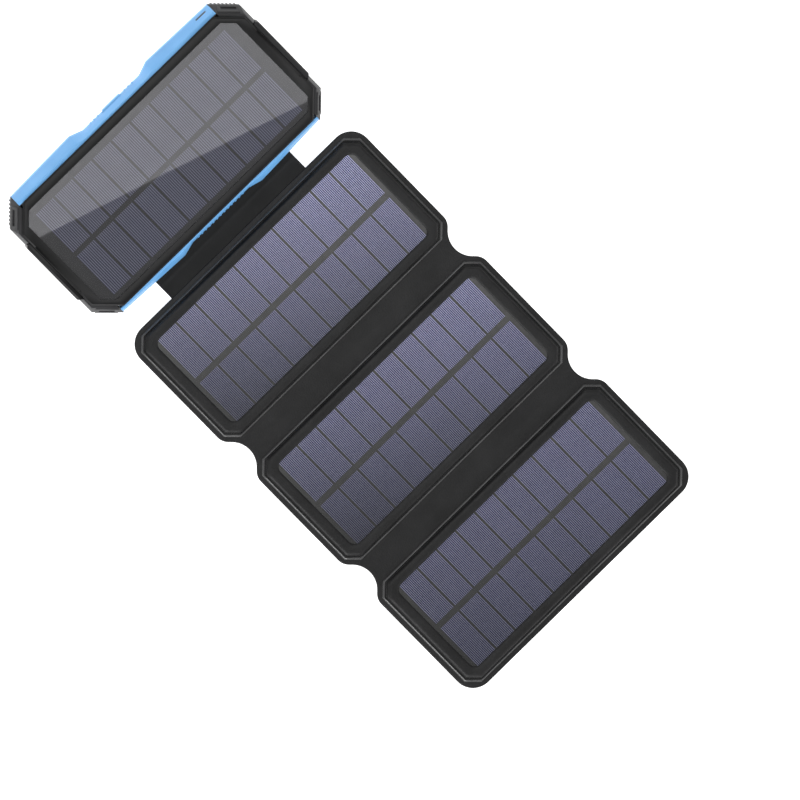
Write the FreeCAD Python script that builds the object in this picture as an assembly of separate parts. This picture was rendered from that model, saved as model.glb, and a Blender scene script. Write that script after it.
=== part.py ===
"""Fold-out solar phone charger: a rugged power bank and three leather solar panels.

Millimetres. +X runs along the panels' long side, +Y from the last panel to the
power bank, +Z up. The open charger lies on z = 0. Everything is drawn with the
middle panel's centre at y = 0 and shifted at the end, so that the origin is the
centre of the underside of the whole open charger.
"""
import FreeCAD, Part
import math
import os

V = FreeCAD.Vector

# ---------------------------------------------------------------- leather wallet
panel_pitch = 85.0          # centre to centre of neighbouring panels
seam_half_y = 34.2          # centre of a panel to its seams, along y
hem = 3.3                   # leather outside the seam on the free edges
half_width = 77.0           # centre to the side edge of the wallet, along x
outer_radius = 10.8         # corner radius of the two free ends
leather = 0.7               # one layer of leather
strip_thickness = 2 * leather
neck_depth = 7.0            # how far the waist between two panels is cut in
neck_half_span = 15.3       # middle of the waist to where its curve starts
neck_corner_radius = 7.6    # outward-curving part of the waist
panel_height = 4.0          # top of the raised leather frame

# ---------------------------------------------------------------- solar laminate
window_half = (66.85, 28.0)         # visible laminate on a panel
window_radius = 4.0
board_margin = 2.4                  # board hidden under the leather frame
board_top = 2.6
cell_thickness = 0.2
film_top = 3.2
cell_columns = 10
cell_rows = 2
cell_pitch = 13.03
cell_gap = 1.1
cell_height = 26.3
row_gap = 3.2
frame_chamfer = 5.6                 # cut corners of the raised leather frame
frame_slope = 1.8                   # width of the frame's sloping edge

# ---------------------------------------------------------------- flap to the bank
flap_half_width = 45.5
flap_span = 16.5                    # panel edge to power bank case
tongue_length = 12.5                # end of the flap that is clamped under the case
clamp_thickness = 1.0
lead_width = 3.0                    # flat conductors sewn into the leather
lead_thickness = 0.3
lead_x = (-30.0, -24.0)

# ---------------------------------------------------------------- power bank case
case_half = (75.5, 35.3)
case_chamfer = 11.3
case_height = 20.0
case_split = 11.0                   # rear case below, front frame above
wall = 1.8
floor = 2.0
top_lip = 0.8
glass_half = (70.3, 30.6)
glass_chamfer = 5.6
glass_ledge = 2.0
glass_seat = 18.0
flange_bottom = 16.8
bank_cell_pitch = 12.9
bank_row_gap = 2.6
bank_cell_height = 26.0

# ---------------------------------------------------------------- bumpers
bumper_end_x = 66.5                 # blue bumper ends, corner bumper starts
corner_reach_x = 2.3                # corner bumper outside the case, along x
far_corner = (5.0, 107.0)           # its reach along y, and |x| + |y| on its cut face
near_corner = (3.4, 105.4)
bumper_levels = ((2.2, 0.25), (7.2, 1.0), (11.8, 1.0), (18.6, 0.3))
far_reach = (4.9, 5.9, 3.3)         # of the far bumper: at its ends, shoulders, grip
near_reach = (2.9, 4.4, 2.5)
rib_reach = 0.3
grip_half = 19.0
shoulder_x = 26.0
rib_width = 0.9
rib_pitch = 2.5

# ---------------------------------------------------------------- ends of the bank
end_reach = 3.0                     # port cover and torch frame outside the case
end_half_y = 18.5
end_levels = (3.0, 18.2)
groove_half_y = 15.5
port_half_y = 18.3
port_levels = (5.0, 15.6)
port_gap = 0.4
socket_mouth_x = 74.0
board_level = (6.0, 7.2)

# ---------------------------------------------------------------- inside the bank
cell_block = (-62.0, -29.5)         # low corner of the first battery cell
battery_size = (38.6, 57.0, 10.0)
battery_gap = 0.8
battery_z = 4.6
case_screw_at = (68.0, 24.0)
screw_radius = 1.1
boss_radius = 2.8
button_half = (6.0, 2.5)
button_z = 9.5
button_play = 0.25

# ---------------------------------------------------------------- derived places
p1_end = panel_pitch + seam_half_y + hem
p3_end = -p1_end
case_edge = p1_end + flap_span
bank_y = case_edge + case_half[1]
bank_far = bank_y + case_half[1] + far_reach[1]
origin_y = (bank_far + p3_end) / 2

parts = {}


def box(x0, x1, y0, y1, z0, z1):
    return Part.makeBox(x1 - x0, y1 - y0, z1 - z0, V(x0, y0, z0))


def ring_wire(points, z):
    corners = [V(x, y, z) for x, y in points]
    return Part.makePolygon(corners + corners[:1])


def prism(points, z0, z1):
    return Part.Face(ring_wire(points, z0)).extrude(V(0, 0, z1 - z0))


def loft(levels):
    """A solid through flat outlines with the same number of corners."""
    return Part.makeLoft([ring_wire(points, z) for points, z in levels], True, True)


def cut_rectangle(half_x, half_y, leg, centre_y=0.0):
    """A rectangle with its four corners cut at 45 degrees."""
    points = []
    for sx, sy in ((1, -1), (1, 1), (-1, 1), (-1, -1)):
        near_x = (sx * half_x, centre_y + sy * (half_y - leg))
        near_y = (sx * (half_x - leg), centre_y + sy * half_y)
        points += [near_x, near_y] if sx * sy > 0 else [near_y, near_x]
    return points


def rounded_block(half_x, half_y, radius, z0, z1, centre_y=0.0):
    block = box(-half_x, half_x, centre_y - half_y, centre_y + half_y, z0, z1)
    upright = [e for e in block.Edges if abs(e.tangentAt(e.FirstParameter).z) > 0.9]
    return block.makeFillet(radius, upright)


def cylinder(radius, height, x, y, z, direction=V(0, 0, 1)):
    return Part.makeCylinder(radius, height, V(x, y, z), direction)


def mirrored(shape, plane_normal):
    return shape.mirror(V(0, bank_y if plane_normal.y else 0, 0), plane_normal)


# ---------------------------------------------------------------- leather outline
def neck_edges(middle_y, start_y, end_y):
    """The waist on the +x side: outward arc, slant, inward arc, slant, outward arc."""
    quarter = math.sqrt(0.5)
    drop = 1.0 - quarter
    both_radii = (neck_half_span - neck_depth) / (quarter - drop)
    inner_radius = both_radii - neck_corner_radius
    x_corner = half_width - neck_corner_radius * drop
    x_inner = half_width - neck_depth + inner_radius * drop
    half_turn = math.radians(22.5)
    edges = []
    for side in (1, -1):
        edge_y = middle_y + side * neck_half_span
        corner_y = edge_y - side * neck_corner_radius * quarter
        inner_y = middle_y + side * inner_radius * quarter
        bend = V(half_width - neck_corner_radius * (1 - math.cos(half_turn)),
                 edge_y - side * neck_corner_radius * math.sin(half_turn), 0)
        start = V(half_width, edge_y, 0)
        corner = V(x_corner, corner_y, 0)
        inner = V(x_inner, inner_y, 0)
        run = [Part.LineSegment(V(half_width, start_y if side > 0 else end_y, 0), start).toShape(),
               Part.Arc(start, bend, corner).toShape(),
               Part.LineSegment(corner, inner).toShape()]
        edges += run if side > 0 else run[::-1]
        if side > 0:
            waist = V(half_width - neck_depth, middle_y, 0)
            other = V(x_inner, middle_y - inner_radius * quarter, 0)
            edges.append(Part.Arc(inner, waist, other).toShape())
    return edges


def wallet_face():
    """The flat outline of the three panels and the two strips between them."""
    r = outer_radius
    tilt = r * (1 - math.sqrt(0.5))
    right = []
    right += neck_edges(panel_pitch / 2, p1_end - r, 0.0)
    right += neck_edges(-panel_pitch / 2, 0.0, p3_end + r)
    for end_y, sense in ((p1_end, 1), (p3_end, -1)):
        a = V(half_width, end_y - sense * r, 0)
        b = V(half_width - tilt, end_y - sense * tilt, 0)
        c = V(half_width - r, end_y, 0)
        right.append(Part.Arc(a, b, c).toShape())
    left = [edge.mirror(V(0, 0, 0), V(1, 0, 0)) for edge in right]
    ends = [Part.LineSegment(V(r - half_width, y, 0), V(half_width - r, y, 0)).toShape()
            for y in (p1_end, p3_end)]
    loop = Part.Wire(Part.__sortEdges__(right + left + ends))
    return Part.Face(loop)


wallet = wallet_face()


def wallet_slab(y0, y1, z0, z1):
    """The part of the wallet between two y lines, as a flat layer."""
    layer = wallet.extrude(V(0, 0, z1 - z0))
    layer.translate(V(0, 0, z0))
    return layer.common(box(-half_width - 1, half_width + 1, y0, y1, z0, z1))


# ---------------------------------------------------------------- panels
def cell_grid(pitch, gap, height, rows_apart, z0, centre_y):
    cells = []
    for row in range(cell_rows):
        y = centre_y + (row - (cell_rows - 1) / 2) * (height + rows_apart)
        for column in range(cell_columns):
            x = (column - (cell_columns - 1) / 2) * pitch
            half = (pitch - gap) / 2
            cells.append(box(x - half, x + half, y - height / 2, y + height / 2,
                             z0, z0 + cell_thickness))
    return Part.makeCompound(cells)


def panel(number, centre_y, y0, y1):
    """Back leather, laminate board, cells, clear film and raised front leather."""
    name = "panel_%d_" % number
    board_half = (window_half[0] + board_margin, window_half[1] + board_margin)
    film_base = board_top + cell_thickness
    pocket = rounded_block(*board_half, window_radius, leather, film_top, centre_y)
    opening = rounded_block(*window_half, window_radius, film_top, panel_height, centre_y)
    slope_foot = cut_rectangle(half_width - hem, seam_half_y, frame_chamfer, centre_y)
    slope_head = cut_rectangle(half_width - hem - frame_slope, seam_half_y - frame_slope,
                               frame_chamfer, centre_y)
    raised = loft([(slope_foot, strip_thickness), (slope_head, panel_height)])
    hem_layer = wallet_slab(y0, y1, leather, strip_thickness)
    parts[name + "back_leather"] = wallet_slab(y0, y1, 0, leather)
    parts[name + "front_leather"] = hem_layer.fuse(raised).cut(pocket).cut(opening).removeSplitter()
    parts[name + "solar_board"] = rounded_block(*board_half, window_radius, leather, board_top,
                                                centre_y)
    parts[name + "solar_cells"] = cell_grid(cell_pitch, cell_gap, cell_height, row_gap,
                                            board_top, centre_y)
    parts[name + "clear_film"] = rounded_block(*board_half, window_radius, film_base, film_top,
                                               centre_y)


def lead_pair(y0, y1):
    low = (strip_thickness - lead_thickness) / 2
    pair = [box(x, x + lead_width, y0, y1, low, low + lead_thickness) for x in lead_x]
    return Part.makeCompound(pair)


def soft_half(name, slab, y0, y1):
    """One half of a leather hinge with the two flat leads sewn inside it."""
    leads = lead_pair(y0, y1)
    parts[name] = slab.cut(leads)
    parts[name + "_leads"] = leads


def strips():
    for number, sense in ((1, 1), (2, -1)):
        seam = sense * seam_half_y
        crease = sense * panel_pitch / 2
        far_seam = sense * (panel_pitch - seam_half_y)
        for name, a, b in (("inner", seam, crease), ("outer", crease, far_seam)):
            y0, y1 = min(a, b), max(a, b)
            slab = wallet_slab(y0, y1, 0, strip_thickness)
            soft_half("strip_%d_%s" % (number, name), slab, y0, y1)


def flap():
    crease = p1_end + flap_span / 2
    for name, y0, y1 in (("flap_inner", p1_end, crease), ("flap_outer", crease, case_edge)):
        slab = box(-flap_half_width, flap_half_width, y0, y1, 0, strip_thickness)
        soft_half(name, slab, y0, y1)


# ---------------------------------------------------------------- flap fixing
clamp_screw_x = tuple(18.0 * step for step in range(-2, 3))
clamp_y = case_edge + 8.0
step_y = case_edge + 3.5
tongue_end = case_edge + tongue_length
recess_top = strip_thickness + clamp_thickness


def clamp_screw(x):
    head = Part.makeCone(2.0, 1.0, clamp_thickness, V(x, clamp_y, 0), V(0, 0, 1))
    return head.fuse(cylinder(1.0, 3.4, x, clamp_y, clamp_thickness)).removeSplitter()


def clamp_screws():
    return Part.makeCompound([clamp_screw(x) for x in clamp_screw_x])


def flap_tongue():
    """The end of the flap steps up over the clamp strip under the case."""
    profile = [V(0, case_edge, 0), V(0, case_edge, strip_thickness), V(0, step_y, recess_top),
               V(0, tongue_end, recess_top), V(0, tongue_end, clamp_thickness),
               V(0, step_y, clamp_thickness)]
    face = Part.Face(Part.makePolygon(profile + profile[:1]))
    solid = face.extrude(V(2 * flap_half_width, 0, 0))
    solid.translate(V(-flap_half_width, 0, 0))
    return solid.cut(clamp_screws())


def clamp_strip():
    strip = box(-flap_half_width + 1, flap_half_width - 1, step_y + 0.2, tongue_end,
                0, clamp_thickness)
    return strip.cut(clamp_screws())


# ---------------------------------------------------------------- power bank case
def case_outline(inset=0.0):
    leg = case_chamfer - inset * (2 - math.sqrt(2))
    return cut_rectangle(case_half[0] - inset, case_half[1] - inset, leg, bank_y)


def screw_places():
    return [(sx * case_screw_at[0], bank_y + sy * case_screw_at[1])
            for sx in (1, -1) for sy in (1, -1)]


def case_screw(x, y):
    head = cylinder(2.1, 1.2, x, y, 0.4)
    return head.fuse(cylinder(screw_radius, 12.0, x, y, 1.6)).removeSplitter()


def case_screws():
    return Part.makeCompound([case_screw(x, y) for x, y in screw_places()])


def port_bay(margin=0.0):
    return box(case_half[0] - wall - 0.5, case_half[0] + 0.5,
               bank_y - port_half_y + margin, bank_y + port_half_y - margin,
               port_levels[0] + margin, port_levels[1] - margin)


def torch_bay():
    return box(-case_half[0] - 0.5, -case_half[0] + wall + 0.5,
               bank_y - 12.0, bank_y + 12.0, 6.0, 14.6)


def button_bay():
    play = button_play
    return box(-button_half[0] - play, button_half[0] + play,
               bank_y + case_half[1] - wall - 0.5, bank_y + case_half[1] + 8,
               button_z - button_half[1] - play, button_z + button_half[1] + play)


def light_guide_bay():
    return box(57.2, 63.6, bank_y + 31.0, bank_y + case_half[1] + 8, 13.6, 14.7)


def side_openings():
    return [port_bay(), torch_bay(), button_bay(), light_guide_bay()]


def gasket_ring():
    outer = prism(case_outline(0.5), case_split - 0.4, case_split + 0.4)
    inner = prism(case_outline(1.3), case_split - 0.4, case_split + 0.4)
    ring = outer.cut(inner)
    for opening in side_openings():
        ring = ring.cut(opening)
    return ring


def rear_case():
    shell = loft([(case_outline(1.0), 0), (case_outline(), 1.0), (case_outline(), case_split)])
    shell = shell.cut(prism(case_outline(wall), floor, case_split))
    shell = shell.fuse(box(-flap_half_width - 2.4, flap_half_width + 2.4,
                           case_edge + wall - 0.2, tongue_end + 2.0, floor - 0.2, recess_top + 2.0))
    for x, y in screw_places():
        shell = shell.fuse(cylinder(boss_radius, case_split - floor + 0.2, x, y, floor - 0.2))
        shell = shell.cut(cylinder(2.2, 1.6, x, y, 0))
    for x in (60.0, 70.5):
        for side in (1, -1):
            shell = shell.fuse(cylinder(1.6, board_level[0] - floor + 0.2, x, bank_y + side * 18.0,
                                        floor - 0.2))
    recess = box(-flap_half_width, flap_half_width, case_edge - 1, tongue_end, 0, recess_top)
    shell = shell.cut(recess).cut(case_screws()).cut(clamp_screws()).cut(gasket_ring())
    for opening in side_openings():
        shell = shell.cut(opening)
    return shell.removeSplitter()


def front_frame():
    body = loft([(case_outline(), case_split), (case_outline(), case_height - top_lip),
                 (case_outline(top_lip), case_height)])
    body = body.cut(prism(case_outline(wall), case_split, flange_bottom))
    glass = cut_rectangle(*glass_half, glass_chamfer, bank_y)
    ledge = cut_rectangle(glass_half[0] - glass_ledge, glass_half[1] - glass_ledge,
                          glass_chamfer, bank_y)
    body = body.cut(prism(glass, glass_seat, case_height)).cut(prism(ledge, flange_bottom, glass_seat))
    for x, y in screw_places():
        body = body.fuse(cylinder(boss_radius, flange_bottom - case_split + 0.2, x, y, case_split))
    for side in (1, -1):
        a, b = sorted((side * (case_half[0] - 1.4), side * (case_half[0] - 0.2)))
        body = body.cut(box(a, b, bank_y - groove_half_y, bank_y + groove_half_y,
                            case_height - 2.0, case_height))
    body = body.cut(case_screws()).cut(gasket_ring())
    for opening in side_openings():
        body = body.cut(opening)
    return body.removeSplitter()


# ---------------------------------------------------------------- bumpers
def corner_envelope(reach_y, outer_sum):
    """The outside shape that a pair of corner bumpers is cut from."""
    levels = []
    for z, share in bumper_levels:
        half_x = case_half[0] + share * corner_reach_x
        half_y = case_half[1] + share * reach_y
        case_sum = sum(case_half) - case_chamfer
        reach_sum = case_sum + share * (outer_sum - case_sum)
        levels.append((cut_rectangle(half_x, half_y, half_x + half_y - reach_sum, bank_y), z))
    return loft(levels)


def corner_pad(outer_sum):
    """A raised pad with a slot on the far +x corner's sloping face."""
    diagonal = math.sqrt(0.5)
    case_sum = sum(case_half) - case_chamfer
    low_z, high_z = bumper_levels[2][0], bumper_levels[3][0]
    low_u = outer_sum * diagonal
    high_u = (case_sum + bumper_levels[3][1] * (outer_sum - case_sum)) * diagonal
    length = math.hypot(low_u - high_u, high_z - low_z)
    out = V((high_z - low_z) / length, (low_u - high_u) / length, 0)

    def along(share, lift):
        u = low_u + share * (high_u - low_u) + lift * out.x
        z = low_z + share * (high_z - low_z) + lift * out.y
        return u, z

    def block(share0, share1, half_length, lift0, lift1, taper):
        corners = [along(share0, lift0), along(share1, lift0),
                   along(share1 - taper, lift1), along(share0 + taper, lift1)]
        line = [V(u * diagonal + half_length * diagonal, u * diagonal - half_length * diagonal, z)
                for u, z in corners]
        face = Part.Face(Part.makePolygon(line + line[:1]))
        return face.extrude(V(-2 * half_length * diagonal, 2 * half_length * diagonal, 0))

    half_diag = (case_half[0] - case_half[1]) * diagonal
    pad = block(0.06, 0.94, 5.6, -0.6, 0.55, 0.04)
    slot = block(0.34, 0.66, 3.8, -0.4, 1.5, 0.0)
    pad = pad.cut(slot)
    pad.translate(V(half_diag * diagonal, bank_y - half_diag * diagonal, 0))
    return pad


def corner_bumper(reach_y, outer_sum):
    """A corner bumper in the far +x corner, to be mirrored into its own."""
    quarter = box(case_half[0] - 20, case_half[0] + 6, bank_y + end_half_y + 0.6,
                  bank_y + case_half[1] + 8, 0, case_height)
    inner_corner = box(0, bumper_end_x, bank_y, bank_y + case_half[1] + 10, 0, case_height)
    bumper = corner_envelope(reach_y, outer_sum).common(quarter).cut(inner_corner)
    bumper = bumper.fuse(corner_pad(outer_sum))
    return bumper.cut(prism(case_outline(), 0, case_height)).removeSplitter()


def side_outline(share, reach):
    y = bank_y + case_half[1]
    end, shoulder, grip = [y + share * value for value in reach]
    left = [(-bumper_end_x, y), (-bumper_end_x, end), (-shoulder_x, shoulder), (-grip_half, grip)]
    return left + [(-x, value) for x, value in reversed(left)]


def grip_ribs(first_x, reach):
    y = bank_y + case_half[1] + reach[2]
    count = int((grip_half - 3.0 - first_x) / rib_pitch) + 1
    ribs = []
    for step in range(count):
        x = first_x + step * rib_pitch
        for side in ((1, -1) if x else (1,)):
            ribs.append(box(side * x - rib_width / 2, side * x + rib_width / 2,
                            y - 0.6, y + rib_reach, 7.4, 11.6))
    return ribs


def side_bumper(first_rib_x, reach):
    """A bumper on the far side, with ribs in the recess that starts at the given x."""
    bumper = loft([(side_outline(share, reach), z) for z, share in bumper_levels])
    for rib in grip_ribs(first_rib_x, reach):
        bumper = bumper.fuse(rib)
    return bumper.removeSplitter()


def light_guide():
    whole = loft([(side_outline(share, far_reach), z) for z, share in bumper_levels])
    reach = light_guide_bay().common(whole)
    inside = light_guide_bay().common(prism(case_outline(), 0, case_height))
    return reach.fuse(inside).removeSplitter()


# ---------------------------------------------------------------- ends of the bank
def end_block(side):
    a, b = sorted((side * (case_half[0] + 0.1), side * (case_half[0] + end_reach)))
    block = box(a, b, bank_y - end_half_y, bank_y + end_half_y, *end_levels)
    outer_x = side * (case_half[0] + end_reach)
    rim = [e for e in block.Edges
           if all(abs(v.X - outer_x) < 0.01 for v in e.Vertexes)]
    return block.makeChamfer(1.0, rim)


def port_cover():
    plug = box(socket_mouth_x + 0.4, case_half[0] + 0.1,
               bank_y - port_half_y + port_gap, bank_y + port_half_y - port_gap,
               port_levels[0] + port_gap, port_levels[1] - port_gap)
    return end_block(1).fuse(plug).removeSplitter()


def torch_frame():
    block = end_block(-1)
    lens_seat = box(-case_half[0] - 1.8, -case_half[0], bank_y - 12.3, bank_y + 12.3, 5.7, 14.9)
    window = box(-case_half[0] - 4, -case_half[0], bank_y - 11.3, bank_y + 11.3, 6.7, 13.9)
    foot = box(-case_half[0] - 0.1, -case_half[0], bank_y - end_half_y, bank_y + end_half_y,
               *end_levels)
    return block.fuse(foot).cut(lens_seat).cut(window).removeSplitter()


def torch_lens():
    return box(-case_half[0] - 1.8, -case_half[0] - 0.6, bank_y - 12.3, bank_y + 12.3, 5.7, 14.9)


torch_y = (-7.4, 0.0, 7.4)
torch_back = case_half[0] - 5.4


def torch_reflector():
    block = box(-case_half[0] - 0.5, -torch_back, bank_y - 11.8, bank_y + 11.8, 6.2, 14.4)
    for y in torch_y:
        cup = Part.makeCone(3.6, 1.3, case_half[0] + 0.5 - torch_back,
                            V(-case_half[0] - 0.5, bank_y + y, 10.3), V(1, 0, 0))
        block = block.cut(cup)
    return block


def torch_led_board():
    board = box(-torch_back, -torch_back + 1.0, bank_y - 13.0, bank_y + 13.0, 5.0, 15.5)
    for y in torch_y:
        board = board.fuse(cylinder(1.1, 1.2, -torch_back - 1.0, bank_y + y, 10.3, V(1, 0, 0)))
    return board.removeSplitter()


# ---------------------------------------------------------------- solar top of the bank
def bank_solar():
    glass = cut_rectangle(*glass_half, glass_chamfer, bank_y)
    board_z = glass_seat + 0.8
    parts["bank_solar_board"] = prism(glass, glass_seat, board_z)
    parts["bank_solar_cells"] = cell_grid(bank_cell_pitch, cell_gap, bank_cell_height,
                                          bank_row_gap, board_z, bank_y - 0.6)
    parts["bank_cover_sheet"] = prism(glass, board_z + cell_thickness, glass_seat + 1.6)


# ---------------------------------------------------------------- electronics
socket_centres = (-11.5, 2.3)
micro_centre = 13.8


def usb_shell(centre):
    y = bank_y + centre
    z0 = board_level[1]
    outer = box(socket_mouth_x - 13.6, socket_mouth_x, y - 6.6, y + 6.6, z0, z0 + 5.7)
    inner = box(socket_mouth_x - 13.2, socket_mouth_x, y - 6.25, y + 6.25, z0 + 0.3, z0 + 5.4)
    return outer.cut(inner)


def usb_insert(centre):
    y = bank_y + centre
    z0 = board_level[1]
    heel = box(socket_mouth_x - 13.2, socket_mouth_x - 10.4, y - 6.25, y + 6.25, z0 + 0.3, z0 + 5.4)
    tongue = box(socket_mouth_x - 10.4, socket_mouth_x - 1.2, y - 5.5, y + 5.5,
                 z0 + 3.1, z0 + 4.9)
    return heel.fuse(tongue).removeSplitter()


def micro_socket():
    y = bank_y + micro_centre
    z0 = board_level[1]
    outline = [(y - 3.7, z0 + 2.9), (y + 3.7, z0 + 2.9), (y + 3.7, z0 + 1.0), (y + 2.8, z0),
               (y - 2.8, z0), (y - 3.7, z0 + 1.0)]
    line = [V(socket_mouth_x - 5.4, a, b) for a, b in outline]
    shell = Part.Face(Part.makePolygon(line + line[:1])).extrude(V(5.4, 0, 0))
    hollow = box(socket_mouth_x - 5.0, socket_mouth_x, y - 3.2, y + 3.2, z0 + 1.0, z0 + 2.6)
    tongue = box(socket_mouth_x - 5.2, socket_mouth_x - 0.8, y - 2.0, y + 2.0, z0 + 1.9, z0 + 2.3)
    return shell.cut(hollow).fuse(tongue).removeSplitter()


def board_components():
    """Coils, capacitors and controllers under and behind the sockets."""
    low = board_level[0]
    top = board_level[1]
    pieces = []
    for y in (-11.0, 0.5, 11.0):
        pieces.append(box(62.0, 68.5, bank_y + y - 3.2, bank_y + y + 3.2, low - 3.2, low))
    for y in (-6.0, 6.0):
        pieces.append(box(58.0, 61.0, bank_y + y - 1.5, bank_y + y + 1.5, low - 1.0, low))
    for y in (-16.0, -9.0, -2.0, 5.0):
        pieces.append(cylinder(1.2, 2.6, 58.7, bank_y + y, top))
    pieces.append(box(57.4, 60.0, bank_y + 9.0, bank_y + 12.5, top, top + 0.9))
    return Part.makeCompound(pieces)


def electronics():
    parts["main_board"] = box(57.0, case_half[0] - wall - 0.1, bank_y - 20.4, bank_y + 20.4,
                              *board_level)
    parts["board_components"] = board_components()
    parts["usb_a_shells"] = Part.makeCompound([usb_shell(c) for c in socket_centres])
    parts["usb_a_inserts"] = Part.makeCompound([usb_insert(c) for c in socket_centres])
    parts["micro_usb_socket"] = micro_socket()


def battery_cell(index):
    """A pouch cell: a block with its long edges rounded."""
    size_x, size_y, size_z = battery_size
    x0 = cell_block[0] + index * (size_x + battery_gap)
    y0 = bank_y + cell_block[1]
    block = box(x0, x0 + size_x, y0, y0 + size_y, battery_z, battery_z + size_z)
    long_edges = [e for e in block.Edges if abs(e.tangentAt(e.FirstParameter).y) > 0.9]
    return block.makeFillet(2.5, long_edges)


# ---------------------------------------------------------------- power button
def power_button():
    y = bank_y + case_half[1]
    stem = box(-button_half[0], button_half[0], y - wall - 0.8, y + far_reach[2] + 0.7,
               button_z - button_half[1], button_z + button_half[1])
    face_y = y + far_reach[2] + 0.7
    rim = [e for e in stem.Edges if all(abs(v.Y - face_y) < 0.01 for v in e.Vertexes)]
    stem = stem.makeChamfer(0.5, rim)
    flange = box(-button_half[0] - 1.2, button_half[0] + 1.2, y - wall - 0.8, y - wall - 0.2,
                 button_z - button_half[1] - 1.2, button_z + button_half[1] + 1.2)
    return stem.fuse(flange).removeSplitter()


def switch_module():
    """Tactile switch on its small upright board behind the button."""
    y = bank_y + 28.0
    board = box(-9.0, 9.0, y, y + 1.0, 4.6, 14.6)
    body = box(-3.0, 3.0, y + 1.0, y + 3.2, button_z - 2.5, button_z + 2.5)
    plunger = cylinder(1.5, 0.7, 0, y + 3.2, button_z, V(0, 1, 0))
    return board.fuse(body).fuse(plunger).removeSplitter()


# ---------------------------------------------------------------- assembly
def power_bank():
    parts["rear_case"] = rear_case()
    parts["front_frame"] = front_frame()
    parts["case_gasket"] = gasket_ring()
    parts["case_screws"] = case_screws()
    across_x, across_y = V(1, 0, 0), V(0, 1, 0)
    far_right = corner_bumper(*far_corner)
    near_right = mirrored(corner_bumper(*near_corner), across_y)
    parts["corner_bumper_far_right"] = far_right
    parts["corner_bumper_far_left"] = mirrored(far_right, across_x)
    parts["corner_bumper_near_right"] = near_right
    parts["corner_bumper_near_left"] = mirrored(near_right, across_x)
    far_bumper = side_bumper(9.0, far_reach)
    parts["side_bumper_far"] = far_bumper.cut(button_bay()).cut(light_guide_bay())
    parts["side_bumper_near"] = mirrored(side_bumper(0.0, near_reach), across_y)
    parts["charge_light_guide"] = light_guide()
    parts["port_cover"] = port_cover()
    parts["torch_frame"] = torch_frame()
    parts["torch_lens"] = torch_lens()
    parts["torch_reflector"] = torch_reflector()
    parts["torch_led_board"] = torch_led_board()
    parts["power_button"] = power_button()
    parts["switch_module"] = switch_module()
    for index in range(3):
        parts["battery_cell_%d" % (index + 1)] = battery_cell(index)
    parts["flap_tongue"] = flap_tongue()
    parts["flap_clamp_strip"] = clamp_strip()
    parts["flap_clamp_screws"] = clamp_screws()
    bank_solar()
    electronics()


panel(1, panel_pitch, panel_pitch - seam_half_y, p1_end)
panel(2, 0.0, -seam_half_y, seam_half_y)
panel(3, -panel_pitch, p3_end, seam_half_y - panel_pitch)
strips()
flap()
power_bank()

os.makedirs("parts", exist_ok=True)
for name, shape in parts.items():
    shape.translate(V(0, -origin_y, 0))
    shape.exportStep("parts/%s.step" % name)
print("nodes:", len(parts), "origin y:", round(origin_y, 3), "bank centre y:", round(bank_y - origin_y, 3))
for name, shape in parts.items():
    if not shape.isValid():
        print("not valid:", name)
    print("%-28s solids %2d  volume %9.1f mm3" % (name, len(shape.Solids), shape.Volume))
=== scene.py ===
# %% [markdown]
# # A fold-out solar charger, finished piece by piece
# The charger is a rugged power bank with a leather wallet of three solar panels.
# The engineering model is already exact, so we load it as a fixed frame and never
# move it. What is missing is everything that makes a surface believable: the roll
# of a leather edge, a padded border, a rubber rib, the lines printed on a cell.
# Each cell below explains one piece and then makes it.

# %% Load the frame
import math

import bmesh
import bpy
from mathutils import Matrix, Vector, noise


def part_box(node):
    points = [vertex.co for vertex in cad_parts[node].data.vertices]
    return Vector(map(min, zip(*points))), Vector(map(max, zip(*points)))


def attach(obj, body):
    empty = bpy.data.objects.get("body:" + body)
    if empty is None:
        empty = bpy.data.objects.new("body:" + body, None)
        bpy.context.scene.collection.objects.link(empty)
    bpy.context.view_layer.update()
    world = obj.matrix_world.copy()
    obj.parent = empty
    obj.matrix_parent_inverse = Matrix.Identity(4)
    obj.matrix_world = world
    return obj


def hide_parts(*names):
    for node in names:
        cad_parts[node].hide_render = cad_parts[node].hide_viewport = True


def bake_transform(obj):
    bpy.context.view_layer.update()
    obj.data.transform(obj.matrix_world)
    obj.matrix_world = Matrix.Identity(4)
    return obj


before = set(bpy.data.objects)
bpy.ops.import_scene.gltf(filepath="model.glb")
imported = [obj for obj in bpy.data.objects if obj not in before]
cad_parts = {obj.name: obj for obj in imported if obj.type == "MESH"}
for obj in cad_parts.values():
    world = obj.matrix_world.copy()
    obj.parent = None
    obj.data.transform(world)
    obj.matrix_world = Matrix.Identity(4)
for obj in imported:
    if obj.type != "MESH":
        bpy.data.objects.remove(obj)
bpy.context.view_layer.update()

mm = 0.001

# %% [markdown]
# ## The camera
# A long lens seen from high above keeps the long sides parallel. We build the
# camera's three axes ourselves and put them in its matrix: first which way it
# looks, then how far it is rolled about that line.

# %% Camera
camera_distance = 6.5
camera_lens, sensor_width, farthest_seen = 600, 36, 20
camera_tilt = math.radians(9.5)
camera_roll = math.radians(44.4)
camera_target = Vector((-0.0007, -0.0386, 0.0))

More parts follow.
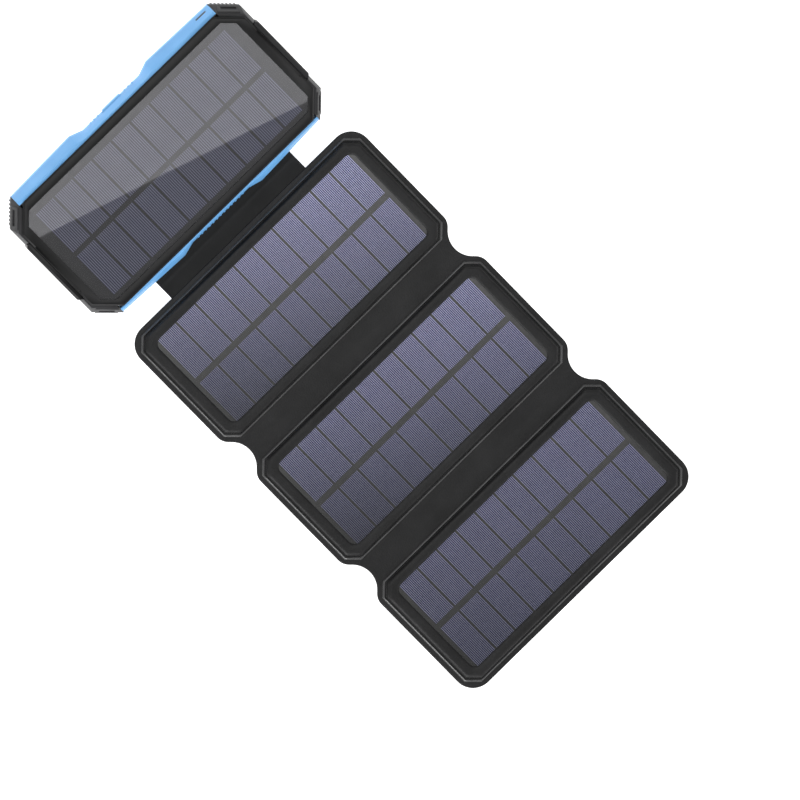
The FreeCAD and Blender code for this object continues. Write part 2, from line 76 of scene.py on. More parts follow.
back = Vector((0, math.sin(camera_tilt), math.cos(camera_tilt)))
level_y = Vector((0, math.cos(camera_tilt), -math.sin(camera_tilt)))
right = Vector((math.cos(camera_roll), 0, 0)) - level_y * math.sin(camera_roll)
up = Vector((math.sin(camera_roll), 0, 0)) + level_y * math.cos(camera_roll)
turned = Matrix((right, up, back)).transposed().to_4x4()
camera_data = bpy.data.cameras.new("studio_camera")
camera_data.lens = camera_lens
camera_data.sensor_width = sensor_width
camera_data.clip_end = farthest_seen
camera = bpy.data.objects.new("studio_camera", camera_data)
camera.matrix_world = Matrix.Translation(camera_target + back * camera_distance) @ turned
bpy.context.scene.collection.objects.link(camera)
bpy.context.scene.camera = camera
print("camera at", [round(v, 3) for v in camera.matrix_world.translation])

# %% [markdown]
# ## A shader to start from
# Every finish here is a node tree. Noise read on Object coordinates stays fixed to
# the piece however it is turned. Small helpers keep the trees readable: one makes a
# material and returns its parts, one adds a node with its values set, and the rest
# are the few steps that every finish repeats.

# %% Node helpers
noise_low, noise_high = 0.3, 0.7


def start_finish(name):
    """A new material, its tree and its shader."""
    finish = bpy.data.materials.new(name)
    finish.use_nodes = True
    tree = finish.node_tree
    return finish, tree, tree.nodes["Principled BSDF"]


def add_node(tree, kind, inputs=None, **settings):
    node = tree.nodes.new(kind)
    for key, value in settings.items():
        setattr(node, key, value)
    for key, value in (inputs or {}).items():
        node.inputs[key].default_value = value
    return node


def object_place(tree):
    return add_node(tree, "ShaderNodeTexCoord").outputs["Object"]


def noise_on(tree, place, size, detail=2.0, roughness=0.5):
    """Noise whose lumps are about `size` metres across."""
    node = add_node(tree, "ShaderNodeTexNoise",
                    {"Scale": 1 / size, "Detail": detail, "Roughness": roughness})
    tree.links.new(place, node.inputs["Vector"])
    return node.outputs["Fac"]


def spread(tree, source, low, high):
    """Stretches the middle of a noise, where nearly all of it lies, to a new range."""
    node = add_node(tree, "ShaderNodeMapRange",
                    {"From Min": noise_low, "From Max": noise_high, "To Min": low, "To Max": high})
    tree.links.new(source, node.inputs["Value"])
    return node.outputs["Result"]


def shade_between(tree, source, dark, light):
    """Two colours mixed by a grey value."""
    node = add_node(tree, "ShaderNodeMix", data_type="RGBA")
    node.inputs["A"].default_value = (*dark, 1)
    node.inputs["B"].default_value = (*light, 1)
    tree.links.new(source, node.inputs["Factor"])
    return node.outputs["Result"]


def bump_from(tree, shader, height, depth):
    node = add_node(tree, "ShaderNodeBump", {"Distance": depth})
    tree.links.new(height, node.inputs["Height"])
    tree.links.new(node.outputs["Normal"], shader.inputs["Normal"])


def colour_and_sheen(tree, shader, patches, fine, dark, light, rough, swing):
    """Colour drifts with one noise and roughness with another."""
    tree.links.new(shade_between(tree, spread(tree, patches, 0, 1), dark, light),
                   shader.inputs["Base Color"])
    tree.links.new(spread(tree, fine, rough - swing, rough + swing), shader.inputs["Roughness"])


print("node helpers ready")

# %% [markdown]
# ## Leather
# The wallet is black coated leather with a pressed pebble grain. A Voronoi texture
# gives the pebbles and a finer noise breaks them up. The grain is under a
# millimetre, so it only shows as a satin sparkle until you come close. The colour
# drifts a little over the hide, and the roughness follows the fine noise.

# %% Leather finish
hide_patch = 22 * mm


def make_leather(name, dark, light, pebble, grain_depth, rough, specular):
    finish, tree, shader = start_finish(name)
    place = object_place(tree)
    pebbles = add_node(tree, "ShaderNodeTexVoronoi", {"Scale": 1 / pebble, "Randomness": 0.9})
    tree.links.new(place, pebbles.inputs["Vector"])
    fine = noise_on(tree, place, pebble / 3, 3.0)
    grain = add_node(tree, "ShaderNodeMath", operation="ADD")
    tree.links.new(pebbles.outputs["Distance"], grain.inputs[0])
    tree.links.new(fine, grain.inputs[1])
    bump_from(tree, shader, grain.outputs[0], grain_depth)
    drift = noise_on(tree, place, hide_patch, 4.0, 0.6)
    colour_and_sheen(tree, shader, drift, fine, dark, light, rough, 0.07)
    shader.inputs["Specular IOR Level"].default_value = specular
    return finish


leather = make_leather("leather_pebbled", (0.007, 0.007, 0.0072), (0.013, 0.013, 0.0134),
                       0.9 * mm, 0.10 * mm, 0.46, 0.25)
flap_leather = make_leather("leather_smooth", (0.006, 0.006, 0.006), (0.010, 0.010, 0.010),
                            0.6 * mm, 0.03 * mm, 0.42, 0.15)
# The welt's leather is smoother and shinier, which is real, and several times lighter in colour,
# which is a painted highlight along the welt.
welt_leather_painted_highlight = make_leather("leather_pressed_painted_highlight", (0.045, 0.045, 0.0455), (0.060, 0.060, 0.061),
                            0.9 * mm, 0.03 * mm, 0.28, 0.6)
print("leathers", leather.name, flap_leather.name, welt_leather_painted_highlight.name)

# %% [markdown]
# ## Moulded plastic and rubber
# Spark-eroded moulds leave a fine even texture on plastic, and rubber is duller with
# a faint bloom. Both are the same recipe with other numbers: a fine noise for the
# bump, a broad one for the colour, and a roughness that follows the fine noise.

# %% Moulded finishes
def add_gloss(shader):
    """A clear coat like the resin that the bank's cells are cast in."""
    shader.inputs["Coat Weight"].default_value = 1.0
    shader.inputs["Coat Roughness"].default_value = 0.012
    shader.inputs["Coat IOR"].default_value = 1.55


def make_moulded(name, dark, light, rough, texture, depth,
                 specular=0.5, patch=15 * mm, gloss=False):
    finish, tree, shader = start_finish(name)
    place = object_place(tree)
    fine = noise_on(tree, place, texture, 3.0)
    broad = noise_on(tree, place, patch, 3.0)
    colour_and_sheen(tree, shader, broad, fine, dark, light, rough, 0.05)
    bump_from(tree, shader, fine, depth)
    shader.inputs["Specular IOR Level"].default_value = specular
    if gloss:
        add_gloss(shader)
    return finish


case_black = make_moulded("case_textured", (0.004, 0.004, 0.0042), (0.007, 0.007, 0.0074),
                          0.36, 0.35 * mm, 0.02 * mm, 0.22)
corner_black = make_moulded("rubber_corner", (0.012, 0.012, 0.013), (0.020, 0.020, 0.022),
                            0.55, 0.5 * mm, 0.02 * mm, 0.35)
pad_grey = make_moulded("rubber_pad", (0.05, 0.05, 0.053), (0.07, 0.07, 0.074),
                        0.5, 0.5 * mm, 0.02 * mm, 0.4)
bumper_blue = make_moulded("rubber_blue", (0.128, 0.365, 0.70), (0.154, 0.415, 0.77),
                           0.42, 0.4 * mm, 0.01 * mm, 0.4)
seal_black = make_moulded("rubber_seal", (0.012, 0.012, 0.013), (0.02, 0.02, 0.022),
                          0.6, 0.5 * mm, 0.02 * mm, 0.3)
button_black = make_moulded("button_satin", (0.018, 0.018, 0.02), (0.026, 0.026, 0.028),
                            0.38, 0.3 * mm, 0.01 * mm, 0.4)
socket_blue = make_moulded("socket_plastic", (0.03, 0.07, 0.26), (0.05, 0.1, 0.33),
                           0.4, 0.3 * mm, 0.01 * mm)
chip_black = make_moulded("component_epoxy", (0.02, 0.02, 0.02), (0.04, 0.04, 0.04),
                          0.5, 0.3 * mm, 0.02 * mm)
print("moulded finishes made")

# %% [markdown]
# ## Metal, foil and circuit board
# These hide inside the bank until a cover is opened, but they are part of the
# object. Steel is brushed by stretching noise along one axis with a Mapping node.

# %% Metal finishes
def make_metal(name, dark, light, rough, stretch=(1, 1, 1), texture=0.4 * mm, depth=0.01 * mm):
    finish, tree, shader = start_finish(name)
    mapping = add_node(tree, "ShaderNodeMapping", {"Scale": stretch})
    tree.links.new(object_place(tree), mapping.inputs["Vector"])
    lines = noise_on(tree, mapping.outputs["Vector"], texture, 3.0)
    colour_and_sheen(tree, shader, lines, lines, dark, light, rough, 0.06)
    bump_from(tree, shader, lines, depth)
    shader.inputs["Metallic"].default_value = 1.0
    return finish


socket_steel = make_metal("steel_plated", (0.5, 0.5, 0.51), (0.66, 0.66, 0.67), 0.3, (1, 0.1, 1))
screw_steel = make_metal("steel_black", (0.06, 0.06, 0.062), (0.11, 0.11, 0.115), 0.35)
lead_copper = make_metal("copper_tinned", (0.6, 0.3, 0.18), (0.75, 0.42, 0.27), 0.35, (1, 0.1, 1))
pouch_foil = make_metal("foil_matt", (0.55, 0.55, 0.56), (0.68, 0.68, 0.69), 0.4, texture=2 * mm)
mirror_metal = make_metal("reflector_bright", (0.8, 0.8, 0.81), (0.88, 0.88, 0.89), 0.12)
board_green = make_moulded("board_green", (0.012, 0.09, 0.045), (0.02, 0.14, 0.07),
                           0.35, 0.6 * mm, 0.01 * mm, 0.5, 3 * mm)
print("metals made")

# %% [markdown]
# ## Solar cells
# Each cell is a strip of blue silicon with hair-thin silver fingers printed across
# it. The fingers are a print, so they belong in the material: the Object X is
# divided by the finger pitch and the fractional part tells finger from silicon.
# The pitch divides the cell pitch exactly, so every cell starts alike. A white noise
# read on the whole-number part of X and Y gives every cell its own tint. The panels
# are brighter towards one corner, where the film reflects the light; that sheen is
# painted into the colour as a slope along X and Y, added afterwards.

# %% Solar cell finish
finger_share = 0.30
tint_share = 0.75
always_positive = 1000
between_rows = 37
grid_half = Vector((65 * mm, 28 * mm))


def math_in(tree):
    """A short way to chain Math nodes in one tree."""
    def math_node(operation, a, b=None):
        node = add_node(tree, "ShaderNodeMath", operation=operation)
        for socket, value in ((0, a), (1, b)):
            if isinstance(value, (int, float)):
                node.inputs[socket].default_value = value
            elif value is not None:
                tree.links.new(value, node.inputs[socket])
        return node.outputs[0]
    return math_node


def add_painted_sheen(finish, row_y, drift, level=1.0):
    """Painted reflection: brightens a finish's colour towards the far right corner of its panel.
    """
    tree = finish.node_tree
    math_node = math_in(tree)
    base = tree.nodes["Principled BSDF"].inputs["Base Color"]
    plain = base.links[0].from_socket
    axes = add_node(tree, "ShaderNodeSeparateXYZ")
    tree.links.new(object_place(tree), axes.inputs[0])
    along = math_node("MULTIPLY", axes.outputs["X"], drift / grid_half.x)
    from_row = math_node("SUBTRACT", axes.outputs["Y"], row_y)
    across = math_node("MULTIPLY", from_row, drift / grid_half.y)
    sheen_node = add_node(tree, "ShaderNodeHueSaturation")
    share = math_node("ADD", math_node("ADD", along, across), level)
    tree.links.new(share, sheen_node.inputs["Value"])
    tree.links.new(plain, sheen_node.inputs["Color"])
    tree.links.new(sheen_node.outputs["Color"], base)


def make_cells(name, cell_pitch, row_y, fingers, dark, light, finger_colour, gloss=False):
    """Silicon strips, `fingers` printed lines on each, in two rows split at row_y."""
    finish, tree, shader = start_finish(name)
    math_node = math_in(tree)
    axes = add_node(tree, "ShaderNodeSeparateXYZ")
    tree.links.new(object_place(tree), axes.inputs[0])
    columns = math_node("DIVIDE", axes.outputs["X"], cell_pitch)
    shifted = math_node("MULTIPLY", columns, fingers)
    line = math_node("FRACT", math_node("ADD", shifted, always_positive + 0.5))
    on_finger = math_node("LESS_THAN", math_node("ABSOLUTE", math_node("SUBTRACT", line, 0.5)),
                          finger_share / 2)
    column_number = math_node("FLOOR", math_node("ADD", columns, always_positive))
    row_number = math_node("GREATER_THAN", axes.outputs["Y"], row_y)
    cell_number = math_node("ADD", column_number,
                            math_node("MULTIPLY", row_number, between_rows))
    tint = add_node(tree, "ShaderNodeTexWhiteNoise", noise_dimensions="1D")
    tree.links.new(cell_number, tint.inputs["W"])
    cloud = noise_on(tree, object_place(tree), 8 * mm, 3.0)
    both = math_node("ADD", math_node("MULTIPLY", tint.outputs["Value"], tint_share),
                     math_node("MULTIPLY", cloud, 1 - tint_share))
    silicon = shade_between(tree, both, dark, light)
    printed = add_node(tree, "ShaderNodeMix", data_type="RGBA")
    printed.inputs["B"].default_value = (*finger_colour, 1)
    tree.links.new(on_finger, printed.inputs["Factor"])
    tree.links.new(silicon, printed.inputs["A"])
    tree.links.new(printed.outputs["Result"], shader.inputs["Base Color"])
    tree.links.new(math_node("ADD", math_node("MULTIPLY", on_finger, 0.2), 0.3),
                   shader.inputs["Roughness"])
    bump_from(tree, shader, on_finger, 0.02 * mm)
    if gloss:
        add_gloss(shader)
    return finish


print("cell helpers ready")

# %% [markdown]
# ### Two kinds of cells
# The wallet's cells lie under a satin film and look violet. The bank's lie under
# clear resin and look nearly black. One recipe makes both, with its own pitch,
# colours and number of fingers for each, so a change to the recipe reaches all four
# grids. Each panel has a material of its own, because its middle row and its
# painted sheen, a brightness in the colour that stands in for the film's reflection, are its own.

# %% Panel and bank cells
panel_cell_pitch, panel_fingers = 13.03 * mm, 15
bank_cell_pitch, bank_fingers = 12.9 * mm, 12
# Slope and level of each panel's painted sheen: brightness in the colour that stands in for the
# film's reflection.
panel_sheen_slope = {1: 0.38, 2: 0.34, 3: 0.18}
panel_sheen_level = {1: 1.09, 2: 1.0, 3: 0.92}


def row_between(node):
    """The Y of the gap between a grid's two rows of cells."""
    low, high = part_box(node)
    return (low.y + high.y) / 2


panel_row = {number: row_between("panel_%d_solar_cells" % number) for number in (1, 2, 3)}
panel_cells = {}
for number in (1, 2, 3):
    finish = make_cells("cells_panel_%d" % number, panel_cell_pitch, panel_row[number],
                        panel_fingers, (0.024, 0.028, 0.098), (0.043, 0.046, 0.134),
                        (0.53, 0.54, 0.68))
    # Painted sheen: the cells' colour is brightened towards one corner of the panel.
    add_painted_sheen(finish, panel_row[number], panel_sheen_slope[number], panel_sheen_level[number])
    panel_cells[number] = finish
bank_cells = make_cells("cells_bank", bank_cell_pitch, row_between("bank_solar_cells"),
                        bank_fingers, (0.002, 0.003, 0.018), (0.006, 0.008, 0.030),
                        (0.125, 0.132, 0.20), gloss=True)
print("cell finishes", len(panel_cells) + 1)

# %% [markdown]
# ## The board behind the cells
# Between the cells shows the glass-fibre board: a greenish grey on the panels, with
# the same painted sheen as the cells, a slope of brightness in the colour that stands
# in for the film's reflection, and nearly black under the bank's resin.

# %% Board finish
board_sheen_slope, board_patch = 0.30, 4 * mm
panel_boards = {}
for number in (1, 2, 3):
    board = make_moulded("board_panel_%d" % number, (0.055, 0.055, 0.050), (0.075, 0.075, 0.068),
                         0.45, 0.5 * mm, 0.01 * mm, 0.4, board_patch)
    # Painted sheen: the board's colour is brightened towards one corner, as on the cells.
    add_painted_sheen(board, panel_row[number], board_sheen_slope)
    panel_boards[number] = board
bank_board = make_moulded("board_dark", (0.005, 0.005, 0.005), (0.008, 0.008, 0.0075),
                          0.45, 0.5 * mm, 0.0, 0.4, board_patch, gloss=True)
print("boards", len(panel_boards), bank_board.name)

# %% [markdown]
# ## Clear sheets
# A film over cells is thin, so light passes straight through and only the surface
# shines. Mixing Transparent with Glossy by Fresnel gives that, and unlike a solid
# glass it doesn't bend the view or darken what is under it.

# %% Clear finish
ripple_size = 1.5 * mm


def make_clear(name, tint, rough, ior, ripple_depth):
    finish, tree, shader = start_finish(name)
    tree.nodes.remove(shader)
    place = object_place(tree)
    through = add_node(tree, "ShaderNodeBsdfTransparent", {"Color": (*tint, 1)})
    shine = add_node(tree, "ShaderNodeBsdfGlossy", {"Color": (1, 1, 1, 1), "Roughness": rough})
    if ripple_depth:
        ripple = add_node(tree, "ShaderNodeBump", {"Distance": ripple_depth})
        tree.links.new(noise_on(tree, place, ripple_size), ripple.inputs["Height"])
        tree.links.new(ripple.outputs["Normal"], shine.inputs["Normal"])
    edge = add_node(tree, "ShaderNodeFresnel", {"IOR": ior})
    mixed = add_node(tree, "ShaderNodeMixShader")
    tree.links.new(edge.outputs[0], mixed.inputs[0])
    tree.links.new(through.outputs[0], mixed.inputs[1])
    tree.links.new(shine.outputs[0], mixed.inputs[2])
    tree.links.new(mixed.outputs[0], tree.nodes["Material Output"].inputs["Surface"])
    return finish


film_clear = make_clear("film_satin", (0.97, 0.97, 0.98), 0.32, 1.3, 0.003 * mm)
cover_clear = make_clear("cover_gloss", (0.96, 0.96, 0.97), 0.2, 1.12, 0)
lens_clear = make_clear("lens_clear", (0.95, 0.95, 0.96), 0.08, 1.5, 0.01 * mm)
print("clear sheets made")

# %% [markdown]
# ## Paint the pieces that keep their engineered shape
# Cells, boards, films and the parts inside the bank are already right, so they only
# get a finish. The gltf import gave each a plain slot, which we fill.

# %% Finishes on carried-over nodes
def paint(node, finish):
    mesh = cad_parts[node].data
    mesh.materials.clear()
    mesh.materials.append(finish)


for number in (1, 2, 3):
    paint("panel_%d_solar_cells" % number, panel_cells[number])
    paint("panel_%d_solar_board" % number, panel_boards[number])
    paint("panel_%d_clear_film" % number, film_clear)
inside = {
    "bank_solar_cells": bank_cells, "bank_solar_board": bank_board,
    "bank_cover_sheet": cover_clear, "main_board": board_green,
    "board_components": chip_black, "usb_a_shells": socket_steel,
    "usb_a_inserts": socket_blue, "micro_usb_socket": socket_steel,
    "switch_module": board_green, "torch_led_board": board_green,
    "torch_reflector": mirror_metal, "torch_lens": lens_clear,
    "case_gasket": seal_black, "case_screws": screw_steel,
    "flap_clamp_screws": screw_steel, "flap_clamp_strip": screw_steel,
    "battery_cell_1": pouch_foil, "battery_cell_2": pouch_foil, "battery_cell_3": pouch_foil,
}
for node, finish in inside.items():
    paint(node, finish)
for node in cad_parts:
    if node.endswith("_leads"):
        paint(node, lead_copper)
print("painted", len(inside), "nodes in the bank, the panels and the leads")

# %% [markdown]
# ## From a node to a finished copy
# A moulded part never has knife edges. We copy a node's mesh, merge its loose
# triangles, dissolve the flat ones into clean faces and bevel every edge sharper
# than a chosen angle. The copy stands in for the node; the node itself is untouched.

# %% Piece helpers
merge_distance = 0.002 * mm
flat_angle = math.radians(0.6)
mould_edge_angle = 25
square_edge_angle = 60


def piece_from(bm, name, finish, body=None, stands_for=(), crease=35):
    """Turns a bmesh into a shown piece that rides on a body."""
    mesh = bpy.data.meshes.new(name)
    bm.normal_update()
    bm.to_mesh(mesh)
    bm.free()
    mesh.materials.append(finish)
    mesh.polygons.foreach_set("use_smooth", [True] * len(mesh.polygons))
    mesh.set_sharp_from_angle(angle=math.radians(crease))
    piece = bpy.data.objects.new(name, mesh)
    bpy.context.scene.collection.objects.link(piece)
    if body:
        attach(piece, body)
    if stands_for:
        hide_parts(*stands_for)
    return piece


def copy_of(*nodes):
    """A merged copy of some nodes' meshes, with flat areas as single faces."""
    bm = bmesh.new()
    for node in nodes:
        bm.from_mesh(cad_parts[node].data)
    bmesh.ops.remove_doubles(bm, verts=bm.verts, dist=merge_distance)
    bmesh.ops.dissolve_limit(bm, angle_limit=flat_angle, verts=bm.verts, edges=bm.edges)
    return bm


def round_edges(bm, edges, width, segments=2):
    bmesh.ops.bevel(bm, geom=edges, offset=width, offset_type="OFFSET", affect="EDGES",
                    segments=segments, profile=0.5, material=-1, clamp_overlap=True)


def sharp_edges(bm, angle):
    limit = math.radians(angle)
    return [e for e in bm.edges if len(e.link_faces) == 2 and e.calc_face_angle(0) > limit]


def level_edges(edges):
    """The edges among these that run level, not up the side of a sheet."""
    return [e for e in edges if abs(e.verts[0].co.z - e.verts[1].co.z) < 0.01 * mm]


def soften_node(node, finish, body, width):
    """A copy of a node with its edges rounded, shown in the node's place."""
    bm = copy_of(node)
    round_edges(bm, sharp_edges(bm, mould_edge_angle), width)
    piece = piece_from(bm, node + "_finished", finish, body, (node,))
    print(piece.name, len(piece.data.polygons), "faces")
    return piece


print("piece helpers ready")

# %% [markdown]
# ## The power bank's shell
# The rear case, the front frame and the torch surround are textured plastic, and the
# port cover and the button are rubber. Half a millimetre of rounding is what a real
# mould has, and it is this thin bright line along an edge that tells the eye how
# large the thing is.

# %% Bank case
soften_node("rear_case", case_black, "power_bank", 0.5 * mm)
soften_node("front_frame", case_black, "power_bank", 0.35 * mm)
soften_node("torch_frame", case_black, "power_bank", 0.3 * mm)
soften_node("port_cover", seal_black, "port_cover", 0.35 * mm)
soften_node("power_button", bumper_blue, "power_button", 0.3 * mm)
soften_node("charge_light_guide", button_black, "power_bank", 0.1 * mm)

# %% [markdown]
# ## Blue side bumpers
# The bumpers are a softer rubber, so their edges are rounder. The low ribs in the
# grip stay crisp, because clamping stops the bevel at what a rib has room for.

# %% Blue bumpers
for side in ("far", "near"):
    soften_node("side_bumper_" + side, bumper_blue, "power_bank", 0.4 * mm)

# %% [markdown]
# ## Corner bumpers
# Four black rubber corners, each with a raised grey pad and a slot on its slope. The
# pad is part of the moulding, so it only needs its own paint: we look for the faces
# that slope out over the corner and keep those that stand proudest.

# %% Corner bumpers
corner_sides = {"far_right": (1, 1), "far_left": (-1, 1),
                "near_right": (1, -1), "near_left": (-1, -1)}
pad_height = 0.35 * mm
corner_slope_up, corner_slope_out = 0.15, 0.3


def paint_pad(piece, side_x, side_y):
    """Gives the raised pad on the corner's slope its own finish."""
    piece.data.materials.append(pad_grey)
    sloping = [f for f in piece.data.polygons
               if f.normal.z > corner_slope_up
               and min(f.normal.x * side_x, f.normal.y * side_y) > corner_slope_out]
    proud = {f.index: f.normal.dot(f.center) for f in sloping}
    highest = max(proud.values())
    for face in sloping:
        if proud[face.index] > highest - pad_height:
            face.material_index = 1
    return sum(f.material_index for f in piece.data.polygons)


for corner, (side_x, side_y) in corner_sides.items():
    piece = soften_node("corner_bumper_" + corner, corner_black,
                        "power_bank", 0.3 * mm)
    print("pad faces", paint_pad(piece, side_x, side_y))

# %% [markdown]
# ### Ribs on the corners
# The lower half of each corner is ribbed for grip. One rib is a cube, stretched,
# bevelled and turned to face out of the corner, and a loop sets the row.

# %% Corner ribs
bank_middle = (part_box("rear_case")[0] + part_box("rear_case")[1]) / 2
rib_size = Vector((0.9 * mm, 0.9 * mm, 6.0 * mm))
rib_pitch, rib_count, rib_level = 1.9 * mm, 7, 6.6 * mm
rib_sunk, rib_rounding = 0.25 * mm, 0.25 * mm
corner_face_sum = {1: 107.0 * mm, -1: 105.4 * mm}


def corner_rib_row(corner, side_x, side_y):
    """Ribs on the cut face, where |x| + |y| from the bank's middle is constant."""
    low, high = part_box("corner_bumper_" + corner)
    reach_x = max(abs(low.x), abs(high.x))
    reach_y = max(abs(low.y - bank_middle.y), abs(high.y - bank_middle.y))
    face_sum = corner_face_sum[side_y]
    middle_x = (reach_x + face_sum - reach_y) / 2
    middle_y = face_sum - middle_x
    outward = Vector((side_x, side_y, 0)).normalized()
    along = Vector((-outward.y, outward.x, 0))
    foot = Vector((side_x * middle_x, bank_middle.y + side_y * middle_y, rib_level))
    turn = Matrix((along, outward, Vector((0, 0, 1)))).transposed().to_4x4()
    bm = bmesh.new()
    for step in range(rib_count):
        place = foot + along * (step - (rib_count - 1) / 2) * rib_pitch - outward * rib_sunk
        verts = bmesh.ops.create_cube(bm, size=1.0)["verts"]
        bmesh.ops.scale(bm, vec=rib_size, verts=verts)
        bmesh.ops.transform(bm, matrix=Matrix.Translation(place) @ turn, verts=verts)
    bmesh.ops.recalc_face_normals(bm, faces=bm.faces)
    round_edges(bm, sharp_edges(bm, square_edge_angle), rib_rounding)
    return piece_from(bm, "corner_ribs_" + corner, corner_black, "power_bank")


rib_rows = [corner_rib_row(corner, *sides) for corner, sides in corner_sides.items()]
print("rib rows", len(rib_rows))

# %% [markdown]
# ## The wallet's leather sheets
# Behind each panel the leather is a double sheet with a rolled edge. Its outline is
# already in the frame, so a copy of the back leather is stretched to the full double
# thickness, and only its outer edge is rounded: the seam edges meet the strips.

# %% Panel leather sheets
hinge_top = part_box("strip_1_inner")[1].z
panel_box = {}
for number in (1, 2, 3):
    panel_box[number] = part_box("panel_%d_back_leather" % number)
seams = {1: (panel_box[1][0].y,), 2: (panel_box[2][0].y, panel_box[2][1].y),
         3: (panel_box[3][1].y,)}
roll_radius, roll_segments = 0.5 * mm, 3
on_line_within = 0.02 * mm


def on_line(edge_or_face, values):
    """Whether an edge or a face lies wholly on one of some lines of constant Y."""
    return any(all(abs(v.co.y - y) < on_line_within for v in edge_or_face.verts)
               for y in values)


def leather_sheet(number):
    """One panel's lower leather, as thick as the strips that join it."""
    node = "panel_%d_back_leather" % number
    bm = copy_of(node)
    stretch = hinge_top / panel_box[number][1].z
    bmesh.ops.scale(bm, vec=(1, 1, stretch), verts=bm.verts)
    rim = [e for e in sharp_edges(bm, square_edge_angle) if not on_line(e, seams[number])]
    round_edges(bm, level_edges(rim), roll_radius, roll_segments)
    return piece_from(bm, "panel_%d_leather_sheet" % number, leather,
                      "panel_%d" % number, (node,))


sheets = [leather_sheet(number) for number in (1, 2, 3)]
print("sheets", [len(s.data.polygons) for s in sheets])

# %% [markdown]
# ## The padded border
# On top of the sheet, a border of leather is pressed over a thin foam frame and
# glued round the window. It is one closed tube of rings: each ring is a rectangle
# with cut or rounded corners, and bridging neighbouring rings lays the leather
# between them. The profile goes up a small welt, down a groove, over the padded
# shoulder and down a lip to the film.

# %% Ring tools
corner_steps = 6
round_profile, cut_profile = 0.5, 0.25


def ring(bm, half_x, half_y, corner, z, centre_y, rounded):
    """A closed loop of edges: a rectangle whose corners are rounded or cut."""
    old = set(bm.edges)
    verts = bmesh.ops.create_grid(bm, x_segments=1, y_segments=1, size=1.0)["verts"]
    bmesh.ops.scale(bm, vec=(half_x, half_y, 1), verts=verts)
    bmesh.ops.translate(bm, vec=(0, centre_y, z), verts=verts)
    bmesh.ops.bevel(bm, geom=verts, offset=corner, offset_type="OFFSET", affect="VERTICES",
                    segments=corner_steps, material=-1,
                    profile=round_profile if rounded else cut_profile)
    edges = [e for e in bm.edges if e not in old]
    faces = list({f for e in edges for f in e.link_faces})
    bmesh.ops.delete(bm, geom=faces, context="FACES_ONLY")
    return edges


def tube_of_rings(bm, rings):
    """Bridges each ring to the next and the last to the first."""
    for this, following in zip(rings, rings[1:] + rings[:1]):
        bmesh.ops.bridge_loops(bm, edges=this + following)
    bmesh.ops.recalc_face_normals(bm, faces=bm.faces)


def divide_long_edges(bm, axis, shortest, cuts):
    """Cuts up the edges that are longer than `shortest` along one axis."""
    long_edges = [e for e in bm.edges
                  if abs((e.verts[0].co - e.verts[1].co)[axis]) > shortest]
    bmesh.ops.subdivide_edges(bm, edges=long_edges, cuts=cuts, use_grid_fill=True)


print("ring tools ready")

# %% [markdown]
# ### Its profile
# Distances are measured inwards from the seam, as a share of the border's width, so
# that the same profile fits the long and the short sides. Heights are real.

# %% Padded borders
film_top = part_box("panel_2_clear_film")[1].z
border_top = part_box("panel_2_front_leather")[1].z
seam_half = Vector((73.7 * mm, 34.2 * mm))
window_half = Vector((66.85 * mm, 28.0 * mm))
border_corner, window_corner, pocket_margin = 5.6 * mm, 4.0 * mm, 2.4 * mm
border_foot = hinge_top - 0.1 * mm
welt_foot, welt_height = 0.1 * mm, 0.85 * mm
rounded_from = 0.6
press_depth, press_size, pressed_above = 0.10 * mm, 9 * mm, hinge_top + 0.6 * mm
border_profile = (
    (-0.13, border_foot), (-0.12, hinge_top + 0.03 * mm), (-0.09, hinge_top + 0.35 * mm),
    (-0.05, hinge_top + 0.70 * mm), (-0.01, hinge_top + 0.80 * mm), (0.03, hinge_top + 0.50 * mm),
    (0.06, hinge_top + 0.10 * mm), (0.10, hinge_top + 0.05 * mm), (0.13, hinge_top + 0.60 * mm),
    (0.18, hinge_top + 1.55 * mm), (0.24, border_top - 0.40 * mm),
    (0.32, border_top - 0.08 * mm), (0.44, border_top), (0.62, border_top - 0.02 * mm),
    (0.78, border_top - 0.10 * mm), (0.90, border_top - 0.28 * mm), (0.97, border_top - 0.50 * mm),
    (1.00, film_top + 0.02 * mm),
)


def border_ring(bm, share, z, centre_y):
    half = seam_half.lerp(window_half, share)
    corner = border_corner + (window_corner - border_corner) * share
    return ring(bm, half.x, half.y, corner, z, centre_y, share > rounded_from)


def hand_pressed(bm):
    """Lifts and sinks the upper faces a little, as leather pressed by hand."""
    for vert in bm.verts:
        if vert.co.z > pressed_above:
            vert.co.z += press_depth * noise.noise(vert.co / press_size)


def paint_welt_highlight(piece):
    """The welt is pressed smooth by the seam's foot, so it shines more; its lighter colour is a
    painted highlight.
    """
    piece.data.materials.append(welt_leather_painted_highlight)
    for face in piece.data.polygons:
        if welt_foot < face.center.z - hinge_top < welt_height:
            face.material_index = 1


def padded_border(number):
    low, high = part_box("panel_%d_clear_film" % number)
    centre_y = (low.y + high.y) / 2
    bm = bmesh.new()
    rings = [border_ring(bm, share, z, centre_y) for share, z in border_profile]
    pocket = window_half + Vector((pocket_margin, pocket_margin))
    rings.append(ring(bm, pocket.x, pocket.y, window_corner, film_top, centre_y, True))
    rings.append(ring(bm, pocket.x, pocket.y, window_corner, border_foot, centre_y, True))
    tube_of_rings(bm, rings)
    divide_long_edges(bm, 0, 60 * mm, 60)
    divide_long_edges(bm, 1, 30 * mm, 28)
    hand_pressed(bm)
    piece = piece_from(bm, "panel_%d_padded_border" % number, leather,
                       "panel_%d" % number, ("panel_%d_front_leather" % number,), 60)
    paint_welt_highlight(piece)
    return piece


borders = [padded_border(number) for number in (1, 2, 3)]
print("borders", [len(b.data.polygons) for b in borders])

